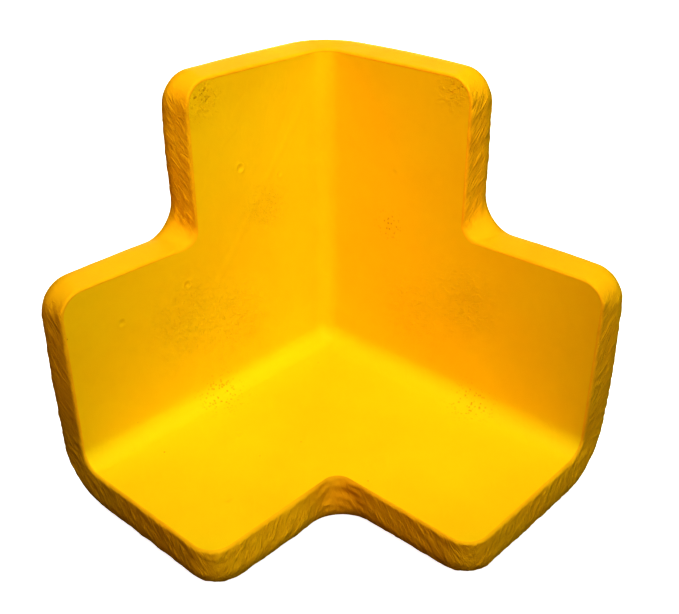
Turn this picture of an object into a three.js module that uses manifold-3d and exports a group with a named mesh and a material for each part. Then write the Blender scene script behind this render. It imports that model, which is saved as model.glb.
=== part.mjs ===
// A three-way foam corner guard, in millimetres, +Z up.
// Three equal L-shaped walls meet at right angles and cup the corner of a crate, a beam or a piece
// of furniture. A grained skin wraps the outside and the edges, a smooth liner covers the three
// inner faces, and a foam core fills the space between the two.
// The origin is under the middle of the guard, on the surface that it stands on.
import * as THREE from "three";
import { mergeVertices } from "three/addons/utils/BufferGeometryUtils.js";
import Module from "manifold-3d";

const wasm = await Module();
wasm.setup();

// Driving dimensions. Lengths along the arms are measured from the sharp inner corner, the point
// where the three inner faces would meet without their fillets.
const armLength = 150;
const armWidth = 81;
const wallThickness = 18;
const foldRadius = 9; // fillet between two inner faces
const endRadius = 14; // outline corners at the free end of an arm
const notchRadius = 14; // outline between the two arms of a wall
const rimRadius = 7; // round-over from the edge band to the outer face
const skinThickness = 1.2;
const linerThickness = 0.8;
const seamGap = 0.3; // clearance between neighbouring pieces

const arcSteps = 8; // facets in a quarter turn
const rimSteps = 4; // facets in the round-over
const reach = 400; // how far the trimming boxes extend past the guard
const cutThrough = 1; // how far a cutting shape runs past the face that it opens

const quarterTurn = Math.PI / 2;

function solidOf(geometry) {
  const bare = geometry.clone();
  bare.deleteAttribute("normal");
  bare.deleteAttribute("uv");
  const merged = mergeVertices(bare, 1e-4);
  const vertProperties = merged.attributes.position.array;
  const triVerts = new Uint32Array(merged.index.array);
  return new wasm.Manifold(new wasm.Mesh({ numProp: 3, vertProperties, triVerts }));
}

function geometryOf(solid) {
  const { vertProperties, triVerts } = solid.getMesh();
  const indexed = new THREE.BufferGeometry();
  indexed.setAttribute("position", new THREE.BufferAttribute(vertProperties, 3));
  indexed.setIndex(new THREE.BufferAttribute(triVerts, 1));
  const flat = indexed.toNonIndexed();
  flat.computeVertexNormals();
  return flat;
}

// The part of a solid that lies between two corners of a box.
function trimmed(solid, low, high) {
  const size = high.map((value, axis) => value - low[axis]);
  const middle = high.map((value, axis) => (value + low[axis]) / 2);
  return solid.intersect(solidOf(new THREE.BoxGeometry(...size).translate(...middle)));
}

// The guard is the same seen along each arm, so a piece of one wall or fold is copied by turning it
// about the diagonal that the three arms share.
function threeWays(solid) {
  const diagonal = new THREE.Vector3(1, 1, 1).normalize();
  return [0, 1, 2].map((step) => {
    const turn = new THREE.Quaternion().setFromAxisAngle(diagonal, (step * 2 * Math.PI) / 3);
    return solidOf(geometryOf(solid).applyQuaternion(turn));
  });
}

// The L outline of one wall, carried on past its two folds, where it is trimmed.
function wallOutline(inset) {
  const length = armLength - inset;
  const width = armWidth - inset;
  const end = endRadius - inset;
  const notch = notchRadius + inset;
  const pastFold = -2 * wallThickness;
  return new THREE.Shape()
    .moveTo(pastFold, pastFold)
    .lineTo(length, pastFold)
    .lineTo(length, width - end)
    .absarc(length - end, width - end, end, 0, quarterTurn, false)
    .lineTo(width + notch, width)
    .absarc(width + notch, width + notch, notch, -quarterTurn, -2 * quarterTurn, true)
    .lineTo(width, length - end)
    .absarc(width - end, length - end, end, 0, quarterTurn, false)
    .lineTo(pastFold, length);
}

// A layer is the stretch of the guard from front to back, both measured behind the inner faces. Its
// outline is inset from the guard's own, and rim is the round-over at its back edge.

// The flat part of the floor, between the two folds and the free edges.
function wallPlate(layer) {
  const plate = new THREE.ExtrudeGeometry(wallOutline(layer.inset), {
    depth: layer.back + cutThrough,
    curveSegments: arcSteps,
    bevelEnabled: layer.rim > 0,
    bevelThickness: layer.rim,
    bevelSize: layer.rim,
    bevelOffset: -layer.rim,
    bevelSegments: rimSteps,
  });
  plate.translate(0, 0, layer.rim - layer.back);
  return trimmed(solidOf(plate), [foldRadius, foldRadius, -reach], [reach, reach, -layer.front]);
}

// The quarter bend between the two upright walls, rounded over at its free end like the walls.
function foldBend(layer) {
  const inner = foldRadius + layer.front;
  const outer = foldRadius + layer.back;
  const end = armLength - layer.inset;
  const profile = [new THREE.Vector2(inner, 0), new THREE.Vector2(outer, 0)];
  const steps = layer.rim > 0 ? rimSteps : 0;
  for (let step = 0; step <= steps; step += 1) {
    const angle = steps > 0 ? (step / steps) * quarterTurn : quarterTurn;
    const drawnIn = layer.rim * (1 - Math.cos(angle));
    const short = layer.rim * (1 - Math.sin(angle));
    profile.push(new THREE.Vector2(outer - drawnIn, end - short));
  }
  profile.push(new THREE.Vector2(inner, end), new THREE.Vector2(inner, 0));
  const ring = new THREE.LatheGeometry(profile, 4 * arcSteps);
  ring.rotateX(quarterTurn);
  ring.translate(foldRadius, foldRadius, 0);
  return trimmed(solidOf(ring), [-reach, -reach, foldRadius], [foldRadius, foldRadius, reach]);
}

// The eighth of a hollow ball where the three folds run into each other.
function cornerBall(layer) {
  const [outside, inside] = [layer.back, layer.front].map((depth) => {
    const ball = new THREE.SphereGeometry(foldRadius + depth, 4 * arcSteps, 2 * arcSteps);
    return solidOf(ball.translate(foldRadius, foldRadius, foldRadius));
  });
  return trimmed(outside.subtract(inside), [-reach, -reach, -reach], [foldRadius, foldRadius, foldRadius]);
}

function cornerLayer(layer) {
  const pieces = [...threeWays(wallPlate(layer)), ...threeWays(foldBend(layer)), cornerBall(layer)];
  return pieces.reduce((whole, piece) => whole.add(piece));
}

const coreInset = skinThickness + seamGap;

// The grained skin: a tray that follows the outside and turns in over every edge as far as the
// border of the inner faces, where its rim shows as a thin lip.
function outerSkin() {
  const whole = cornerLayer({ front: 0, back: wallThickness, inset: 0, rim: rimRadius });
  const filling = cornerLayer({
    front: -cutThrough,
    back: wallThickness - skinThickness,
    inset: skinThickness,
    rim: rimRadius - skinThickness,
  });
  return whole.subtract(filling);
}

// The smooth liner that faces the corner being protected.
function innerSkin() {
  return cornerLayer({ front: 0, back: linerThickness, inset: coreInset, rim: 0 });
}

// The moulded foam between the liner and the grained skin.
function foamCore() {
  return cornerLayer({
    front: linerThickness + seamGap,
    back: wallThickness - coreInset,
    inset: coreInset,
    rim: rimRadius - skinThickness,
  });
}

function grainedYellow() {
  return new THREE.MeshStandardMaterial({ color: 0xd89a08, roughness: 0.55, metalness: 0 });
}

function smoothYellow() {
  return new THREE.MeshStandardMaterial({ color: 0xf7b800, roughness: 0.45, metalness: 0 });
}

function paleFoam() {
  return new THREE.MeshStandardMaterial({ color: 0xf3cf5a, roughness: 0.9, metalness: 0 });
}

function named(name, solid, material) {
  const mesh = new THREE.Mesh(geometryOf(solid), material);
  mesh.name = name;
  return mesh;
}

const cornerGuard = new THREE.Group();
cornerGuard.add(
  named("outer_skin", outerSkin(), grainedYellow()),
  named("foam_core", foamCore(), paleFoam()),
  named("inner_skin", innerSkin(), smoothYellow()),
);

// The pieces are built around the sharp inner corner and stand centred over the origin.
const halfSpan = (armLength + wallThickness) / 2;
const cornerFromMiddle = wallThickness - halfSpan;
cornerGuard.position.set(cornerFromMiddle, cornerFromMiddle, wallThickness);

export default cornerGuard;
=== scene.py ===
import math

import bmesh
import bpy
import numpy as np
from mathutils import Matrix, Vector, noise


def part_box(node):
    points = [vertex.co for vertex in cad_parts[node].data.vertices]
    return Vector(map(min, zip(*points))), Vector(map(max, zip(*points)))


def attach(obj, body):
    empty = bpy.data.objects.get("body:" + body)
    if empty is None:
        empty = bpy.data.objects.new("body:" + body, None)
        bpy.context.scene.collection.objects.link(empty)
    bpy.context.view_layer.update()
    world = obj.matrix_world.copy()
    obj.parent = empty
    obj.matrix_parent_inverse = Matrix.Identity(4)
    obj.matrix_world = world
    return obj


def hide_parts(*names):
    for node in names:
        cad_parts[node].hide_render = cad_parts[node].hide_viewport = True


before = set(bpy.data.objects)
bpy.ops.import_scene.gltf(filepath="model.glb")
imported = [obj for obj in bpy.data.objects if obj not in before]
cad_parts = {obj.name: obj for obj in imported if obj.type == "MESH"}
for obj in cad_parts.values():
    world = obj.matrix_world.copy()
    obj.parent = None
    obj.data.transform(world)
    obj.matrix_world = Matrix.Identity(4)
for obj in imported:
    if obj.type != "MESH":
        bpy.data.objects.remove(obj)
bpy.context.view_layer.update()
print("frame loaded")

# The guard, in metres. Lengths along the arms start at the sharp inner corner,
# where the three inner faces would meet without their fillets.
guard = {
    "liner": 0.0008,          # smooth skin over the inner faces
    "skin": 0.0012,           # grained skin round the outside
    "armWidth": 0.081,
    "foldRadius": 0.0085,     # fillet between two inner faces
    "rimRadius": 0.0087,      # round-over from the edge band to the outer face
    "flare": 0.003,           # the edge band leans out by this much towards the back
    "endRadius": 0.0107,      # outline corners of an arm at the inner border
    "endGrowth": 0.0052,      # and how much wider they are at the back
    "notchRadius": 0.0062,    # outline between two arms at the inner border
    "notchGrowth": 0.0095,
    "notchFade": 0.026,       # how far into a wall the notch pulls the cells along
    "insetFade": 0.034,       # how far in from the border an inset is spread
    "seam": 0.00002,          # hairline between the liner and the lip round it
    "coreGap": 0.00035,       # from the liner to the core, and half the way from core to skin
    "smoothAngle": 50,        # degrees, past which an edge stays sharp
    # where the moulding swells or shrinks: the place on it, from the sharp inner corner, how far
    # its back is moved there, and how far round it the move is felt
    "swellings": (
        ((0.150, 0.000, 0.068), (-0.0013, 0, 0), 0.028),
        ((0.150, 0.000, 0.010), (-0.0011, 0, 0), 0.030),
        ((0.150, 0.045, 0.000), (-0.0008, 0, 0), 0.035),
        ((0.115, 0.081, 0.000), (0, 0.0024, 0), 0.032),
        ((0.081, 0.115, 0.000), (-0.0008, 0, 0), 0.030),
        ((0.081, 0.150, 0.000), (-0.0015, -0.0013, 0), 0.016),
        ((0.000, 0.150, 0.038), (0, 0.0013, 0), 0.042),
        ((0.000, 0.112, 0.081), (0, 0, 0.0011), 0.030),
        ((0.000, 0.081, 0.150), (0, -0.0019, -0.0015), 0.015),
        ((0.000, 0.081, 0.098), (0, -0.0007, 0), 0.012),
        ((0.000, 0.033, 0.150), (0, 0, 0.0012), 0.028),
        ((0.025, 0.000, 0.150), (0, 0, 0.0005), 0.028),
        ((0.081, 0.000, 0.122), (0.0020, 0, 0), 0.023),
        ((0.102, 0.000, 0.081), (0, 0, 0.0013), 0.026),
        ((0.147, 0.000, 0.081), (-0.0007, 0, -0.0012), 0.014),
    ),
}
outerLow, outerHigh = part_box("outer_skin")
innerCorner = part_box("inner_skin")[0] + Vector((guard["liner"],) * 3)
guard["thickness"] = innerCorner.x - outerLow.x
guard["armLength"] = outerHigh.x - innerCorner.x


# Goes softly from 0 at the start to 1 at the end.
def rise(value, start, end):
    share = np.clip((value - start) / (end - start), 0.0, 1.0)
    return share * share * (3 - 2 * share)


# 1 at a place, falling off to nothing at about twice the reach.
def nearness(points, place, reach):
    return np.exp(-(np.linalg.norm(points - np.array(place), axis=1) / reach) ** 2)


def activate(piece):
    bpy.ops.object.select_all(action="DESELECT")
    piece.select_set(True)
    bpy.context.view_layer.objects.active = piece


def editMode(on):
    bpy.ops.object.mode_set(mode="EDIT" if on else "OBJECT")


def readVectors(values, name="co"):
    found = np.empty(len(values) * 3)
    values.foreach_get(name, found)
    return found.reshape(-1, 3)


def writePoints(piece, points):
    piece.data.vertices.foreach_set("co", np.ascontiguousarray(points).ravel())
    piece.data.update()


def readTag(piece, name):
    found = np.empty(len(piece.data.vertices))
    piece.data.attributes[name].data.foreach_get("value", found)
    return found


def writeTag(piece, name, values):
    tag = piece.data.attributes.get(name) or piece.data.attributes.new(name, "FLOAT", "POINT")
    tag.data.foreach_set("value", np.asarray(values, np.float32))


def applyModifier(piece, kind, **settings):
    activate(piece)
    modifier = piece.modifiers.new(kind.lower(), kind)
    for key, value in settings.items():
        setattr(modifier, key, value)
    bpy.ops.object.modifier_apply(modifier=modifier.name)


# Selects the faces or edges that pass a test, and nothing else. The test is given the mesh's own
# "behind" layer as well, where it has one.
def selectWhere(piece, kind, test):
    bpy.ops.mesh.select_mode(type=kind)
    bpy.ops.mesh.select_all(action="DESELECT")
    mesh = bmesh.from_edit_mesh(piece.data)
    behind = mesh.verts.layers.float.get("behind")
    for item in mesh.faces if kind == "FACE" else mesh.edges:
        tags = [vert[behind] for vert in item.verts] if behind else []
        if test(item, tags):
            item.select_set(True)


def crossesEdge(item, tags):
    return max(tags) - min(tags) > 1e-6


# Three square-edged walls of an open corner: a cube loses its three far faces, the rest is cut
# into even cells, and the far quarter of each wall goes, which leaves three L shapes.
def cornerSheet(name, length, width, cell):
    halfCells = round(length / cell / 2)      # subdivide takes no more than a hundred cuts at once
    cells = 2 * halfCells
    bpy.ops.object.select_all(action="DESELECT")
    bpy.ops.mesh.primitive_cube_add(size=length, location=(length / 2,) * 3)
    sheet = bpy.context.object
    sheet.name = name
    bpy.ops.object.transform_apply(location=True, rotation=False, scale=False)
    editMode(True)
    selectWhere(sheet, "FACE", lambda face, tags: max(face.normal) > 0.5)
    bpy.ops.mesh.delete(type="FACE")
    bpy.ops.mesh.select_all(action="SELECT")
    bpy.ops.mesh.subdivide(number_cuts=halfCells - 1)
    bpy.ops.mesh.subdivide(number_cuts=1)
    cutAt = round(width / length * cells) * length / cells
    selectWhere(sheet, "FACE", lambda face, tags: sum(c > cutAt for c in face.calc_center_median()) == 2)
    bpy.ops.mesh.delete(type="FACE")
    bpy.ops.mesh.select_mode(type="VERT")
    editMode(False)
    points = readVectors(sheet.data.vertices)
    points[np.abs(points) < 1e-6] = 0
    inArm = np.clip((points - cutAt) / (length - cutAt), 0, 1)
    writePoints(sheet, np.clip(points / cutAt, 0, 1) * width + inArm * (length - width))
    return sheet


# The sheet doubled into a closed slab, still flat: the tag "behind" runs from 0 on the front
# (the inner faces) over the rings of the edge to 1 on the back.
def cornerSlab(name, layer):
    length = guard["armLength"] + layer["back"]
    slab = cornerSheet(name, length, guard["armWidth"] + layer["back"], layer["cell"])
    writeTag(slab, "behind", np.ones(len(slab.data.vertices)))
    activate(slab)
    editMode(True)
    bpy.ops.mesh.select_all(action="SELECT")
    bpy.ops.mesh.extrude_region()
    mesh = bmesh.from_edit_mesh(slab.data)
    behind = mesh.verts.layers.float["behind"]
    for vert in mesh.verts:
        if vert.select:
            vert[behind] = 0
    if layer["rings"] > 1:
        selectWhere(slab, "EDGE", crossesEdge)
        bpy.ops.mesh.subdivide(number_cuts=layer["rings"] - 1)
    if layer["fineEdge"]:
        selectWhere(slab, "FACE", crossesEdge)
        bpy.ops.mesh.subdivide(number_cuts=1)
    bpy.ops.mesh.select_mode(type="VERT")
    editMode(False)
    behind = readTag(slab, "behind")
    depth, inset = edgePath(layer, behind)
    points = readVectors(slab.data.vertices)
    points[np.abs(points) < 1e-6] = 0
    writePoints(slab, shapeCorner(points, layer, depth, inset))
    editMode(True)
    bpy.ops.mesh.select_all(action="SELECT")
    bpy.ops.mesh.normals_make_consistent(inside=False)
    editMode(False)
    return slab


# Where a ring of the edge lies: how deep behind the inner face, and how far in from the outline.
# The rings are closest together at the front, where the edge turns over the small lip radius.
def edgePath(layer, behind):
    lip = max(layer["lip"], 1e-9)
    rim = max(layer["rim"], 1e-9)
    straight = layer["back"] - layer["front"] - lip - rim
    quarter = math.pi / 2
    along = behind ** layer["crowding"] * (straight + (lip + rim) * quarter)
    lipAngle = np.clip(along / lip, 0, quarter)
    rimAngle = np.clip((along - lip * quarter - straight) / rim, 0, quarter)
    flat = np.clip(along - lip * quarter, 0, straight)
    depth = layer["front"] + lip * (1 - np.cos(lipAngle)) + flat + rim * np.sin(rimAngle)
    inset = layer["inset"] + lip * (1 - np.sin(lipAngle)) + rim * (1 - np.cos(rimAngle))
    return depth, inset


# Turns the square-edged flat points into the real form: outline drawn in, corners and notches
# rounded, and the folds and the back bent round their radii.
def shapeCorner(points, layer, depth, inset):
    share = depth / guard["thickness"]
    endRadius = guard["endRadius"] + guard["endGrowth"] * share - inset
    notchRadius = guard["notchRadius"] + guard["notchGrowth"] * share + inset
    drawnIn = inset - guard["flare"] * share
    length = guard["armLength"] + layer["back"] - drawnIn
    width = guard["armWidth"] + layer["back"] - drawnIn
    sideAt = guard["armWidth"] + layer["back"]
    fade = rise(points, sideAt - guard["insetFade"], sideAt)
    shaped = points - drawnIn[:, None] * fade
    for wall in range(3):
        onWall = points[:, wall] == 0
        u = (wall + 1) % 3
        v = (wall + 2) % 3
        roundEnd(shaped, onWall, u, v, length, width, endRadius)
        roundEnd(shaped, onWall, v, u, length, width, endRadius)
        roundNotch(shaped, onWall, u, v, width, notchRadius)
    bend = guard["foldRadius"] + layer["back"]
    centre = np.maximum(shaped, bend)
    outward = shaped - centre
    outward /= np.linalg.norm(outward, axis=1)[:, None]
    reach = (guard["foldRadius"] + depth)[:, None]
    bent = centre - layer["back"] + reach * outward
    moved = bent.copy()
    for place, shift, felt in guard["swellings"]:
        moved += (nearness(bent, place, felt) * share)[:, None] * np.array(shift)
    return np.array(innerCorner) + moved


# A square end corner becomes a quarter disc.
def roundEnd(points, onWall, u, v, endAt, sideAt, radius):
    centreU = endAt - radius
    centreV = sideAt - radius
    across = points[:, u] - centreU
    up = points[:, v] - centreV
    inside = onWall & (across > 0) & (up > 0)
    across = across[inside]
    up = up[inside]
    squash = np.maximum(across, up) / np.hypot(across, up)
    points[inside, u] = centreU[inside] + across * squash
    points[inside, v] = centreV[inside] + up * squash


# The square inner corner of an L fills out to an arc, and the cells beside it follow.
def roundNotch(points, onWall, u, v, sideAt, radius):
    pastU = points[:, u] - sideAt
    pastV = points[:, v] - sideAt
    along = np.maximum(np.maximum(pastU, pastV), 0)
    turn = math.pi / 4 * (1 + np.clip(along / radius, 0, 1))
    alongShift = radius * (1 - np.cos(turn)) - np.minimum(along, radius)
    outShift = radius * (1 - np.sin(turn))
    fromEdge = np.where(along > 0, -np.minimum(pastU, pastV), np.hypot(pastU, pastV))
    fade = (1 - rise(fromEdge, 0, guard["notchFade"])) * onWall * (along < radius)
    uLeads = pastU >= pastV
    points[:, u] += fade * np.where(uLeads, alongShift, outShift)
    points[:, v] += fade * np.where(uLeads, outShift, alongShift)


def noiseAt(points, size, shift=0.0):
    scaled = points / size + shift
    return np.array([noise.noise(Vector(point)) for point in scaled])


# The narrow valley between two streaks, measured in the noise's own height.
valley = {"depth": 0.3, "width": 0.18}


# Noise drawn out along a direction, so that its hills become streaks.
def streaksAt(points, flow, width, stretch, shift):
    flow = np.array(Vector(flow).normalized())
    along = points @ flow
    squeezed = points - np.outer(along, flow) * (1 - 1 / stretch)
    return withValleys(noiseAt(squeezed, width, shift))


def withValleys(streaks):
    return streaks - valley["depth"] * np.exp(-(streaks / valley["width"]) ** 2)


outerSkin = {
    "front": 0.0,
    "back": guard["thickness"],
    "inset": 0.0,
    "lip": 0.0011,                   # the edge turns over this radius into the inner faces
    "rim": guard["rimRadius"],
    "cell": 0.0019,                  # size of the cells that the faces are cut into
    "rings": 13,                     # rows of cells round the edge, from front to back
    "fineEdge": True,                # cut those cells once more
    "crowding": 1.5,                 # above 1, the rings lie closer together at the front
    "uneven": (0.038, 0.0004),       # size and height of the slow unevenness of the moulding
    "grain": (0.0034, 0.00003),      # of the grain on top of it
    "crease": (0.0018, 0.00034),     # width and height of a crease
    "creaseLength": 5.0,             # times its width
    "smoothTop": 0.12,               # how much of the creases is left where the edge faces up
    "facingUp": (0.125, 0.75),       # the upward share of the normal, from not at all to fully
    "facingBlend": 1 / 3,            # how softly the creases turn from one direction to the other
    "steepDrop": 1.3,                # creases drop by this much for each step away from the folds
    "flatDrop": 0.5,                 # and run flatter near the floor
    "steepBetween": (0.03, 0.06),    # heights over the floor where flat turns into steep
    "notchFold": (0.0019, 0.0010),   # folds that follow the arc between two arms
    "notchFoldLength": 5.0,
    "notchFoldReach": 0.013,
    "notchCalm": 0.5,                # the share of the drawn lines' height that is lost at a notch
    "backCalm": 0.5,                 # and of the creases' height at the back
    "notchShadeSpot": (Vector((0.088, 0.088, -0.007)), 0.016),  # painted shade at the notch between the floor arms, darker there: place and reach
    # stretches of the way from the front to the back, from 0 to 1
    "unevenStart": (0.0, 0.14),
    "creaseStart": (0.0, 0.2),
    "backCalmStart": (0.7, 1.0),
    "notchFoldEnd": (0.5, 0.85),     # the back of the arc stays smooth
}


def makeOuterSkin():
    piece = cornerSlab("outerSkin", outerSkin)
    activate(piece)
    editMode(True)
    selectWhere(piece, "FACE", lambda face, tags: max(tags) == 0)
    bpy.ops.mesh.delete(type="FACE")
    bpy.ops.mesh.select_mode(type="VERT")
    editMode(False)
    creaseOuterSkin(piece)
    applyModifier(piece, "SOLIDIFY", thickness=guard["skin"], offset=-1, use_rim=True)
    return piece


def creaseOuterSkin(piece):
    points = readVectors(piece.data.vertices)
    normals = readVectors(piece.data.vertex_normals, "vector")
    behind = readTag(piece, "behind")
    fromCorner = points - np.array(innerCorner)
    unevenSize, uneven = outerSkin["uneven"]
    grainSize, grain = outerSkin["grain"]
    creaseSize, crease = outerSkin["crease"]
    foldSize, fold = outerSkin["notchFold"]
    length = outerSkin["creaseLength"]
    blend = outerSkin["facingBlend"]
    facesX = rise(np.abs(normals[:, 0]) - np.abs(normals[:, 1]), -blend, blend)
    raised = rise(fromCorner[:, 2], *outerSkin["steepBetween"])
    creases = np.zeros(len(points))
    for drop, share in ((outerSkin["steepDrop"], raised), (outerSkin["flatDrop"], 1 - raised)):
        creases += share * facesX * streaksAt(points, (0, 1, -drop), creaseSize, length, shift=7.7)
        creases += share * (1 - facesX) * streaksAt(points, (1, 0, -drop), creaseSize, length, shift=4.2)
    folds, nearNotch = notchFolds(fromCorner, foldSize)
    folds *= 1 - rise(behind, *outerSkin["notchFoldEnd"])
    facingUp = rise(normals[:, 2], *outerSkin["facingUp"])
    creased = rise(behind, *outerSkin["creaseStart"]) * (1 - facingUp * (1 - outerSkin["smoothTop"]))
    creased *= 1 - outerSkin["backCalm"] * rise(behind, *outerSkin["backCalmStart"])
    lift = (creases * crease * (1 - nearNotch) + folds * fold * nearNotch) * creased
    slow = noiseAt(points, unevenSize, shift=3.1) * uneven
    fine = noiseAt(points, grainSize, shift=1.3) * grain
    lift += (slow + fine) * rise(behind, *outerSkin["unevenStart"])
    moved = points + normals * lift[:, None]
    moved[:, 2] = np.maximum(moved[:, 2], outerLow.z)
    writePoints(piece, moved)
    writeTag(piece, "creased", creased * (1 - outerSkin["notchCalm"] * nearNotch))
    writeTag(piece, "facesX", facesX)
    # where the notch between the floor arms gets painted shade
    writeTag(piece, "paintedNotchShade", nearness(fromCorner, *outerSkin["notchShadeSpot"]))


# Noise drawn out along the arc of the nearest notch, and how near that notch is.
def notchFolds(fromCorner, width):
    folds = np.zeros(len(fromCorner))
    nearest = np.zeros(len(fromCorner))
    centre = guard["armWidth"] + guard["notchRadius"] + guard["notchGrowth"] / 2
    perRadian = centre / 6 / outerSkin["notchFoldLength"]      # way through the noise along the arc
    for wall in range(3):
        u = fromCorner[:, (wall + 1) % 3] - centre
        v = fromCorner[:, (wall + 2) % 3] - centre
        aside = np.abs(u - v) / math.sqrt(2) / outerSkin["notchFoldReach"]
        near = np.exp(-aside ** 2) * (u + v < 0) * (np.minimum(u, v) > -centre / 2)
        around = np.arctan2(u, v) * perRadian
        drawnOut = np.stack([around, fromCorner[:, wall], np.hypot(u, v)], 1)
        folds += near * withValleys(noiseAt(drawnOut, width, shift=5.5 + wall))
        nearest = np.maximum(nearest, near)
    return folds / np.maximum(nearest, 1e-6), nearest


innerSkin = {
    "front": 0.0,
    "back": guard["liner"],
    "inset": outerSkin["lip"] + guard["seam"],
    "lip": 0.0,
    "rim": 0.0,
    "cell": 0.0013,
    "rings": 1,
    "fineEdge": False,
    "crowding": 1.0,
    "uneven": (0.03, 0.00022),
    "borderFade": (0.0024, 0.0144),   # distances from the free border where the unevenness starts
    "foldHighlightReach": 0.023,             # painted highlight: the floor is painted a brighter yellow this close to its folds
    "foldHighlightBelow": (0.002, 0.013),    # heights over the floor where the painted highlight ends
    "dentCells": 2.2,                 # the cells are finer up to this many radii round a dent
    "dentSlope": 1.6,                 # the higher, the narrower its hollow
    "dentRim": (1.3, 0.4, 0.45),      # its place and width in radii, its height in depths
    # each dent: its wall (the axis that it faces), its place there, along the next two axes from
    # the inner corner, its radius and its depth
    "dents": (
        (1, 0.1077, 0.0545, 0.0017, 0.00045),
        (1, 0.0635, 0.0884, 0.0016, 0.00042),
        (1, 0.0592, 0.1231, 0.0015, 0.00036),
        (1, 0.0985, 0.0310, 0.0014, 0.00020),
        (0, 0.0420, 0.1010, 0.0014, 0.00018),
        (0, 0.0500, 0.0500, 0.0013, 0.00018),
        (2, 0.0900, 0.0300, 0.0013, 0.00014),
        (2, 0.1230, 0.0600, 0.0014, 0.00014),
    ),
    # a faint flow mark down one wall: where it starts and ends, its width and height
    "flowMark": (Vector((0.0169, 0, 0.1251)), Vector((0.083, 0, 0.0438)), 0.0012, 0.00022),
    # porous spots: place from the inner corner, and reach
    "porous": (
        (Vector((0.0745, 0, 0.1450)), 0.0055),
        (Vector((0.0, 0.0748, 0.1450)), 0.0045),
        (Vector((0.0768, 0.002, 0.0)), 0.010),
        (Vector((0.002, 0.0942, 0.0)), 0.009),
        (Vector((0.0, 0.040, 0.075)), 0.006),
    ),
    # patches of small crinkles, given in the same way
    "crinkled": (
        (Vector((0.090, 0, 0.045)), 0.018),
        (Vector((0.060, 0, 0.035)), 0.016),
        (Vector((0.074, 0, 0.142)), 0.008),
        (Vector((0.040, 0, 0.085)), 0.010),
        (Vector((0, 0.055, 0.035)), 0.017),
        (Vector((0, 0.085, 0.050)), 0.014),
        (Vector((0, 0.072, 0.142)), 0.007),
    ),
}


def makeInnerSkin():
    piece = cornerSlab("innerSkin", innerSkin)
    activate(piece)
    editMode(True)
    dents = [(dentPlace(*dent[:3]), *dent[3:]) for dent in innerSkin["dents"]]
    spots = [(place + innerCorner, radius * innerSkin["dentCells"]) for place, radius, depth in dents]
    selectWhere(piece, "FACE", lambda face, tags: any(
        (face.calc_center_median() - place).length < reach for place, reach in spots))
    bpy.ops.mesh.subdivide(number_cuts=3)
    bpy.ops.mesh.select_mode(type="VERT")
    editMode(False)
    points = readVectors(piece.data.vertices)
    normals = readVectors(piece.data.vertex_normals, "vector")
    fromCorner = points - np.array(innerCorner)
    unevenSize, uneven = innerSkin["uneven"]
    lift = noiseAt(points, unevenSize, shift=9.4) * uneven * borderFade(fromCorner)
    rimAt, rimWidth, rimHeight = innerSkin["dentRim"]
    for place, radius, depth in dents:
        away = np.linalg.norm(fromCorner - np.array(place), axis=1) / radius
        rim = rimHeight * np.exp(-((away - rimAt) / rimWidth) ** 2)
        lift += depth * (rim - np.exp(-away ** 2 * innerSkin["dentSlope"]))
    start, end, width, height = innerSkin["flowMark"]
    lift += height * np.exp(-(fromSegment(fromCorner, start, end) / width) ** 2)
    lift *= readTag(piece, "behind") == 0
    writePoints(piece, points + normals * lift[:, None])
    for name in ("porous", "crinkled"):
        near = sum(nearness(fromCorner, place, reach) for place, reach in innerSkin[name])
        writeTag(piece, name, np.minimum(near, 1))
    # Painted highlight along the floor's folds, fading out above the floor.
    toFold = np.minimum(fromCorner[:, 0], fromCorner[:, 1]) / innerSkin["foldHighlightReach"]
    low = 1 - rise(fromCorner[:, 2], *innerSkin["foldHighlightBelow"])
    writeTag(piece, "paintedFoldHighlight", low * np.exp(-toFold ** 2))
    return piece


def dentPlace(wall, along, up):
    place = Vector((0, 0, 0))
    place[(wall + 1) % 3] = along
    place[(wall + 2) % 3] = up
    return place


# 0 along the free border of the inner faces, where the liner meets the lip, and 1 well inside it.
def borderFade(fromCorner):
    ordered = np.sort(fromCorner, axis=1)
    toEnd = guard["armLength"] - ordered[:, 2]
    toSide = guard["armWidth"] - ordered[:, 1]
    return rise(np.minimum(toEnd, np.maximum(toSide, 0)), *innerSkin["borderFade"])


def fromSegment(points, start, end):
    way = np.array(end - start)
    share = np.clip((points - np.array(start)) @ way / (way @ way), 0, 1)
    return np.linalg.norm(points - np.array(start) - np.outer(share, way), axis=1)


foamCore = {
    "front": guard["liner"] + guard["coreGap"],
    "back": guard["thickness"] - guard["skin"] - 2 * guard["coreGap"],
    "inset": guard["skin"] + 2 * guard["coreGap"],
    "lip": 0.001,
    "rim": guard["rimRadius"] - guard["skin"],
    "cell": 0.003,
    "rings": 10,
    "fineEdge": False,
    "crowding": 1.2,
    "cells": (0.0045, 0.00025),      # size and depth of the foam's larger hollows
}


def makeFoamCore():
    piece = cornerSlab("foamCore", foamCore)
    points = readVectors(piece.data.vertices)
    normals = readVectors(piece.data.vertex_normals, "vector")
    size, height = foamCore["cells"]
    lift = -height * np.abs(noiseAt(points, size, shift=2.2))
    writePoints(piece, points + normals * lift[:, None])
    return piece


pieces = {"outer_skin": makeOuterSkin(), "inner_skin": makeInnerSkin(), "foam_core": makeFoamCore()}
for piece in pieces.values():
    activate(piece)
    bpy.ops.object.shade_smooth_by_angle(angle=math.radians(guard["smoothAngle"]))
    print(piece.name, "is made,", len(piece.data.vertices), "points")


# Shader nodes: a node is added with its settings, and its inputs are given as values or as links.
def addNode(tree, kind, settings, inputs):
    node = tree.nodes.new("ShaderNode" + kind)
    for key, value in settings.items():
        setattr(node, key, value)
    for key, value in inputs.items():
        if isinstance(value, bpy.types.NodeSocket):
            tree.links.new(value, node.inputs[key])
        else:
            node.inputs[key].default_value = value
    return node


def calculate(tree, operation, *values):
    return addNode(tree, "Math", {"operation": operation}, dict(enumerate(values))).outputs[0]


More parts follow.
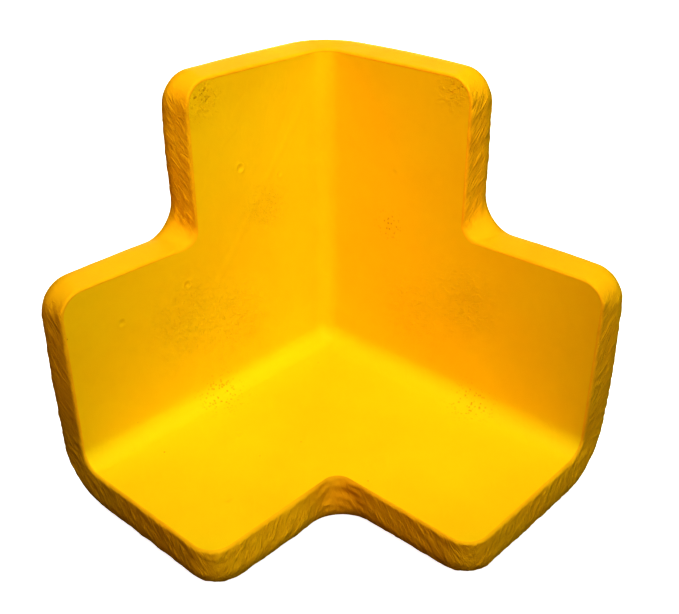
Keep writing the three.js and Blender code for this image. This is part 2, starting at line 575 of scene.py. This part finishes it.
# The sum of several (value, weight) parts.
def weighted(tree, *parts):
    total = calculate(tree, "MULTIPLY", *parts[0])
    for part in parts[1:]:
        total = calculate(tree, "ADD", total, calculate(tree, "MULTIPLY", *part))
    return total


def remap(tree, value, fromLow, fromHigh, toLow, toHigh):
    inputs = {"Value": value, "From Min": fromLow, "From Max": fromHigh, "To Min": toLow, "To Max": toHigh}
    return addNode(tree, "MapRange", {}, inputs).outputs[0]


def mixColours(tree, share, first, second):
    return addNode(tree, "Mix", {"data_type": "RGBA"}, {0: share, 6: first, 7: second}).outputs[2]


def nodeGroup(name, inputs, outputs):
    tree = bpy.data.node_groups.new(name, "ShaderNodeTree")
    for socketName, (kind, value) in inputs.items():
        socket = tree.interface.new_socket(socketName, in_out="INPUT", socket_type="NodeSocket" + kind)
        socket.default_value = value
    for socketName in outputs:
        tree.interface.new_socket(socketName, in_out="OUTPUT", socket_type="NodeSocketFloat")
    return tree, tree.nodes.new("NodeGroupInput").outputs, tree.nodes.new("NodeGroupOutput").inputs


def useGroup(tree, group, **inputs):
    node = addNode(tree, "Group", {"node_tree": group}, {})
    for key, value in inputs.items():
        node.inputs[key].default_value = value
    return node.outputs


def objectPoint(tree):
    return addNode(tree, "TexCoord", {}, {}).outputs["Object"]


# The point in units of a pattern's own size.
def scaledPoint(tree, size):
    return addNode(tree, "VectorMath", {"operation": "DIVIDE"}, {0: objectPoint(tree), 1: size}).outputs[0]


def tagOf(tree, name):
    return addNode(tree, "Attribute", {"attribute_name": name}, {}).outputs["Fac"]


# Fine lines drawn out along one direction, as low hills with narrow valleys between them. Turn
# carries the X axis onto that direction.
def makeLinesGroup():
    tree, given, result = nodeGroup("drawnLines", {
        "Turn": ("Vector", (0, 0, 0)), "Length": ("Float", 0.01), "Width": ("Float", 0.001)}, ["Height"])
    size = addNode(tree, "CombineXYZ", {}, {"X": given["Length"], "Y": given["Width"], "Z": given["Width"]})
    turned = addNode(tree, "Mapping", {"vector_type": "TEXTURE"}, {
        "Vector": objectPoint(tree), "Rotation": given["Turn"], "Scale": size.outputs[0]})
    lines = addNode(tree, "TexNoise", {}, {
        "Vector": turned.outputs[0], "Scale": 1.0, "Detail": 1.2, "Roughness": 0.5, "Distortion": 0.7})
    fromMiddle = calculate(tree, "ABSOLUTE", calculate(tree, "SUBTRACT", lines.outputs[0], 0.5))
    valleys = remap(tree, fromMiddle, 0.0, 0.10, 0.0, 1.0)
    hills = remap(tree, lines.outputs[0], 0.25, 0.75, 0.0, 1.0)
    height = weighted(tree, (valleys, 0.35), (hills, 0.65))
    tree.links.new(height, result["Height"])
    return tree


# The even grain of the mould, as small rounded cells.
def makeGrainGroup():
    tree, given, result = nodeGroup("mouldGrain", {"Size": ("Float", 0.001)}, ["Height"])
    point = scaledPoint(tree, given["Size"])
    cells = addNode(tree, "TexVoronoi", {"feature": "SMOOTH_F1"}, {
        "Vector": point, "Scale": 1.0, "Smoothness": 0.6, "Randomness": 1.0})
    fine = addNode(tree, "TexNoise", {}, {"Vector": point, "Scale": 1.3, "Detail": 3.0})
    height = weighted(tree, (cells.outputs["Distance"], 0.6), (fine.outputs[0], 0.4))
    tree.links.new(height, result["Height"])
    return tree


# Slow changes of tone from one place to the next.
def makeDriftGroup():
    tree, given, result = nodeGroup("toneDrift", {
        "Size": ("Float", 0.05), "Shift": ("Float", 0.0)}, ["Mask"])
    point = scaledPoint(tree, given["Size"])
    shifted = addNode(tree, "VectorMath", {"operation": "ADD"}, {0: point, 1: given["Shift"]})
    slow = addNode(tree, "TexNoise", {}, {"Vector": shifted.outputs[0], "Scale": 1.0, "Detail": 4.0})
    tree.links.new(remap(tree, slow.outputs[0], 0.32, 0.68, 0.0, 1.0), result["Mask"])
    return tree


# Pinholes: small round pits about one Spacing apart. Share keeps only some of them.
def makePinholeGroup():
    tree, given, result = nodeGroup("pinholes", {
        "Spacing": ("Float", 0.003), "Radius": ("Float", 0.15), "Share": ("Float", 0.3)}, ["Mask"])
    point = scaledPoint(tree, given["Spacing"])
    pits = addNode(tree, "TexVoronoi", {}, {"Vector": point, "Scale": 1.0})
    chance = addNode(tree, "SeparateColor", {}, {"Color": pits.outputs["Color"]}).outputs[0]
    kept = calculate(tree, "LESS_THAN", chance, given["Share"])
    edge = calculate(tree, "DIVIDE", pits.outputs["Distance"], given["Radius"])
    tree.links.new(calculate(tree, "MULTIPLY", remap(tree, edge, 0.5, 1.0, 1.0, 0.0), kept), result["Mask"])
    return tree


lineGroup = makeLinesGroup()
grainGroup = makeGrainGroup()
driftGroup = makeDriftGroup()
pinholeGroup = makePinholeGroup()
print("shader groups are built")


def newMaterial(name, specular, tint):
    material = bpy.data.materials.new(name)
    material.use_nodes = True
    tree = material.node_tree
    shader = tree.nodes["Principled BSDF"]
    shader.inputs["Specular IOR Level"].default_value = specular
    shader.inputs["Specular Tint"].default_value = tint
    return material, tree, shader


def turnTo(direction):
    return Vector((1, 0, 0)).rotation_difference(Vector(direction)).to_euler()


yellow = {
    "plain": (0.975, 0.73, 0.006, 1),
    "deep": (0.965, 0.685, 0.004, 1),
    # painted highlight along the floor's folds
    "paintedFoldHighlight": (0.98, 0.80, 0.008, 1),
    "skin": (0.975, 0.625, 0.006, 1),
    "skinDeep": (0.95, 0.55, 0.004, 1),
    # a dark orange painted as shade in creases, at the floor notch and in pinholes
    "paintedShade": (0.60, 0.25, 0.001, 1),
    "foam": (0.95, 0.78, 0.25, 1),
    # the deeper foam tone, also painted as shade in the foam's holes
    "foamDeepAndHoleShade": (0.80, 0.58, 0.12, 1),
    "gloss": (1.0, 0.78, 0.25, 1),
}

grainedFinish = {
    "specular": 0.3,
    "lines": {"Length": 0.010, "Width": 0.0015},
    "grain": {"Size": 0.0008},
    "drift": {"Size": 0.03, "Shift": 3.0},
    "grainHeight": 0.06,
    "bump": {"Strength": 0.9, "Distance": 0.0005},
    "paintedCreaseShade": (0.15, 0.5, 0.5, 0.0),      # painted shade in the crease valleys: darkest below the first height, gone at the second
    # painted shade at the floor notch: at most this share of the shade colour
    "notchShadeDepth": 0.55,
    "roughness": (0.2, 0.8, 0.62, 0.44),      # from the valleys to the hills
}


def grainedSkinMaterial():
    finish = grainedFinish
    material, tree, shader = newMaterial("grainedSkin", finish["specular"], yellow["gloss"])
    drop = outerSkin["steepDrop"]
    alongY = useGroup(tree, lineGroup, Turn=turnTo((0, 1, -drop)), **finish["lines"])
    alongX = useGroup(tree, lineGroup, Turn=turnTo((1, 0, -drop)), **finish["lines"])
    grain = useGroup(tree, grainGroup, **finish["grain"])
    drift = useGroup(tree, driftGroup, **finish["drift"])
    creased = tagOf(tree, "creased")
    facesX = tagOf(tree, "facesX")
    facesY = calculate(tree, "SUBTRACT", 1.0, facesX)
    drawn = weighted(tree, (alongY["Height"], facesX), (alongX["Height"], facesY))
    height = weighted(tree, (drawn, creased), (grain["Height"], finish["grainHeight"]))
    bump = addNode(tree, "Bump", {}, {"Height": height, **finish["bump"]})
    toned = mixColours(tree, drift["Mask"], yellow["skin"], yellow["skinDeep"])
    # Painted shade: the crease valleys are mixed towards the dark shade colour.
    creaseShadeShare = calculate(tree, "MULTIPLY", remap(tree, drawn, *finish["paintedCreaseShade"]), creased)
    # Painted shade at the notch between the floor arms.
    paintedNotchShade = calculate(tree, "MULTIPLY", tagOf(tree, "paintedNotchShade"), finish["notchShadeDepth"])
    shadeShare = calculate(tree, "MAXIMUM", creaseShadeShare, paintedNotchShade)
    tree.links.new(mixColours(tree, shadeShare, toned, yellow["paintedShade"]), shader.inputs["Base Color"])
    tree.links.new(remap(tree, height, *finish["roughness"]), shader.inputs["Roughness"])
    tree.links.new(bump.outputs[0], shader.inputs["Normal"])
    return material


smoothFinish = {
    "specular": 0.3,
    "grain": {"Size": 0.0011},
    "flowLines": {"Length": 0.05, "Width": 0.006},
    "flowWay": (1, 1, -1.3),
    "drift": {"Size": 0.045, "Shift": 11.0},
    "fewPits": {"Spacing": 0.009, "Radius": 0.05, "Share": 0.25},
    "manyPits": {"Spacing": 0.0015, "Radius": 0.42, "Share": 0.65},   # in the porous spots
    "crinkleLines": {"Length": 0.0035, "Width": 0.0016},
    "crinkleWay": (1, 1, 0.4),
    "crinkleShape": (0.45, 0.8, 0.0, 1.0),    # flat below the first height, full at the second
    "grainHeight": 0.12,
    "flowHeight": 0.35,
    "pitHeight": -1.0,
    "crinkleHeight": 1.5,
    "bump": {"Strength": 0.7, "Distance": 0.0003},
    # painted shade in the pinholes: this share of the shade colour
    "pitShade": 0.55,
    "roughness": (0.0, 1.0, 0.46, 0.56),
}


def smoothSkinMaterial():
    finish = smoothFinish
    material, tree, shader = newMaterial("smoothSkin", finish["specular"], yellow["gloss"])
    grain = useGroup(tree, grainGroup, **finish["grain"])
    flow = useGroup(tree, lineGroup, Turn=turnTo(finish["flowWay"]), **finish["flowLines"])
    drift = useGroup(tree, driftGroup, **finish["drift"])
    fewPits = useGroup(tree, pinholeGroup, **finish["fewPits"])
    manyPits = useGroup(tree, pinholeGroup, **finish["manyPits"])
    inSpots = calculate(tree, "MULTIPLY", manyPits["Mask"], tagOf(tree, "porous"))
    pits = calculate(tree, "MAXIMUM", fewPits["Mask"], inSpots)
    small = useGroup(tree, lineGroup, Turn=turnTo(finish["crinkleWay"]), **finish["crinkleLines"])
    shaped = remap(tree, small["Height"], *finish["crinkleShape"])
    crinkles = calculate(tree, "MULTIPLY", shaped, tagOf(tree, "crinkled"))
    height = weighted(tree, (grain["Height"], finish["grainHeight"]),
                      (flow["Height"], finish["flowHeight"]),
                      (pits, finish["pitHeight"]),
                      (crinkles, finish["crinkleHeight"]))
    bump = addNode(tree, "Bump", {}, {"Height": height, **finish["bump"]})
    toned = mixColours(tree, drift["Mask"], yellow["plain"], yellow["deep"])
    # Painted highlight: near its folds the floor is mixed towards a brighter yellow.
    toned = mixColours(tree, tagOf(tree, "paintedFoldHighlight"), toned, yellow["paintedFoldHighlight"])
    # Painted shade in the pinholes.
    withPitShade = mixColours(tree, calculate(tree, "MULTIPLY", pits, finish["pitShade"]), toned, yellow["paintedShade"])
    tree.links.new(withPitShade, shader.inputs["Base Color"])
    tree.links.new(remap(tree, drift["Mask"], *finish["roughness"]), shader.inputs["Roughness"])
    tree.links.new(bump.outputs[0], shader.inputs["Normal"])
    return material


foamFinish = {
    "specular": 0.1,
    "grain": {"Size": 0.0014},
    "holes": {"Spacing": 0.0024, "Radius": 0.45, "Share": 0.8},
    "drift": {"Size": 0.02, "Shift": 6.0},
    "grainHeight": 0.6,
    "holeHeight": -0.8,
    "bump": {"Strength": 0.9, "Distance": 0.0006},
    # painted shade in the foam's holes
    "holeShade": 0.7,
    "roughness": (0.2, 0.8, 0.95, 0.8),
}


def foamMaterial():
    finish = foamFinish
    material, tree, shader = newMaterial("openFoam", finish["specular"], yellow["foam"])
    grain = useGroup(tree, grainGroup, **finish["grain"])
    holes = useGroup(tree, pinholeGroup, **finish["holes"])
    drift = useGroup(tree, driftGroup, **finish["drift"])
    height = weighted(tree, (grain["Height"], finish["grainHeight"]), (holes["Mask"], finish["holeHeight"]))
    bump = addNode(tree, "Bump", {}, {"Height": height, **finish["bump"]})
    toned = mixColours(tree, drift["Mask"], yellow["foam"], yellow["foamDeepAndHoleShade"])
    # Painted shade in the foam's holes.
    holeShadeShare = calculate(tree, "MULTIPLY", holes["Mask"], finish["holeShade"])
    withHoleShade = mixColours(tree, holeShadeShare, toned, yellow["foamDeepAndHoleShade"])
    tree.links.new(withHoleShade, shader.inputs["Base Color"])
    tree.links.new(remap(tree, grain["Height"], *finish["roughness"]), shader.inputs["Roughness"])
    tree.links.new(bump.outputs[0], shader.inputs["Normal"])
    return material


finishes = {
    "outer_skin": ("grained_skin", grainedSkinMaterial()),
    "inner_skin": ("smooth_skin", smoothSkinMaterial()),
    "foam_core": ("foam", foamMaterial()),
}
for node, piece in pieces.items():
    slotName, material = finishes[node]
    piece.data.materials.clear()
    piece.data.materials.append(material)
    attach(piece, "root")
    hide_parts(node)
print("materials are on")

# The studio: a soft box close overhead, a far one on the +Y side and one behind, all turned to the
# middle of the guard, and two narrow beams on the tops of the upright walls.
middle = (0, 0, 0.06)
studio = {
    "overhead": {"place": (0.06, 0.06, 0.6), "aim": middle, "size": 0.7, "power": 3.25,
                 "colour": (0.98, 1, 0.93)},
    "sideY": {"place": (0.1, 1.25, 0.7), "aim": middle, "size": 0.8, "power": 5.8,
              "colour": (1, 0.98, 0.7)},
    "beamX": {"place": (0.9, 0.2, 0.45), "aim": (0, 0.01, 0.175), "size": 0.3, "power": 0.145,
              "colour": (1, 0.5, 0.26), "spread": 24},
    "beamY": {"place": (0.2, 0.9, 0.45), "aim": (0.01, 0, 0.175), "size": 0.3, "power": 0.055,
              "colour": (1, 1, 0.9), "spread": 24},
    "behind": {"place": (-0.9, -0.9, 0.3), "aim": middle, "size": 0.6, "power": 9.0,
               "colour": (1, 0.93, 0.75)},
}


def aimAt(thing, target):
    thing.rotation_euler = (Vector(target) - thing.location).to_track_quat("-Z", "Y").to_euler()


for name, lamp in studio.items():
    bpy.ops.object.light_add(type="AREA", location=lamp["place"])
    light = bpy.context.object
    light.name = name
    light.data.size = lamp["size"]
    light.data.energy = lamp["power"]
    light.data.color = lamp["colour"]
    if "spread" in lamp:
        light.data.spread = math.radians(lamp["spread"])
    aimAt(light, lamp["aim"])
    light.visible_camera = False

scene = bpy.context.scene
scene.view_settings.view_transform = "Standard"
scene.view_settings.gamma = 0.7

# The floor glows white for the camera and is nearly black for all other rays, so that it throws
# back little light and the underside of the guard stays dark. The air is dimmed in the same way.
paper = {"size": 8, "below": 0.0003, "glow": 0.9, "seenTone": 0.9, "litTone": 0.03}
air = {"seen": 0.95, "lit": 0.01}


def cameraRays(tree):
    return addNode(tree, "LightPath", {}, {}).outputs["Is Camera Ray"]


def paperMaterial():
    white = (1, 1, 1, 1)
    material, tree, shader = newMaterial("paper", 0.0, white)
    shader.inputs["Roughness"].default_value = 1.0
    shader.inputs["Emission Color"].default_value = white
    seenByCamera = cameraRays(tree)
    tone = remap(tree, seenByCamera, 0.0, 1.0, paper["litTone"], paper["seenTone"])
    glow = calculate(tree, "MULTIPLY", seenByCamera, paper["glow"])
    tree.links.new(tone, shader.inputs["Base Color"])
    tree.links.new(glow, shader.inputs["Emission Strength"])
    return material


bpy.ops.mesh.primitive_plane_add(size=paper["size"], location=(0, 0, -paper["below"]))
floor = bpy.context.object
floor.name = "paperFloor"
floor.data.materials.append(paperMaterial())

world = bpy.data.worlds.new("studioAir")
scene.world = world
world.use_nodes = True
worldTree = world.node_tree
background = worldTree.nodes["Background"].inputs
background["Color"].default_value = (1, 1, 1, 1)
strength = remap(worldTree, cameraRays(worldTree), 0.0, 1.0, air["lit"], air["seen"])
worldTree.links.new(strength, background["Strength"])
print("lights and floor are set")

view = {"place": (0.24275, 0.22428, 0.26635), "aim": (-0.03164, -0.02595, 0.06359), "lens": 49.36}
bpy.ops.object.camera_add(location=view["place"])
camera = bpy.context.object
aimAt(camera, view["aim"])
camera.data.lens = view["lens"]
scene.camera = camera
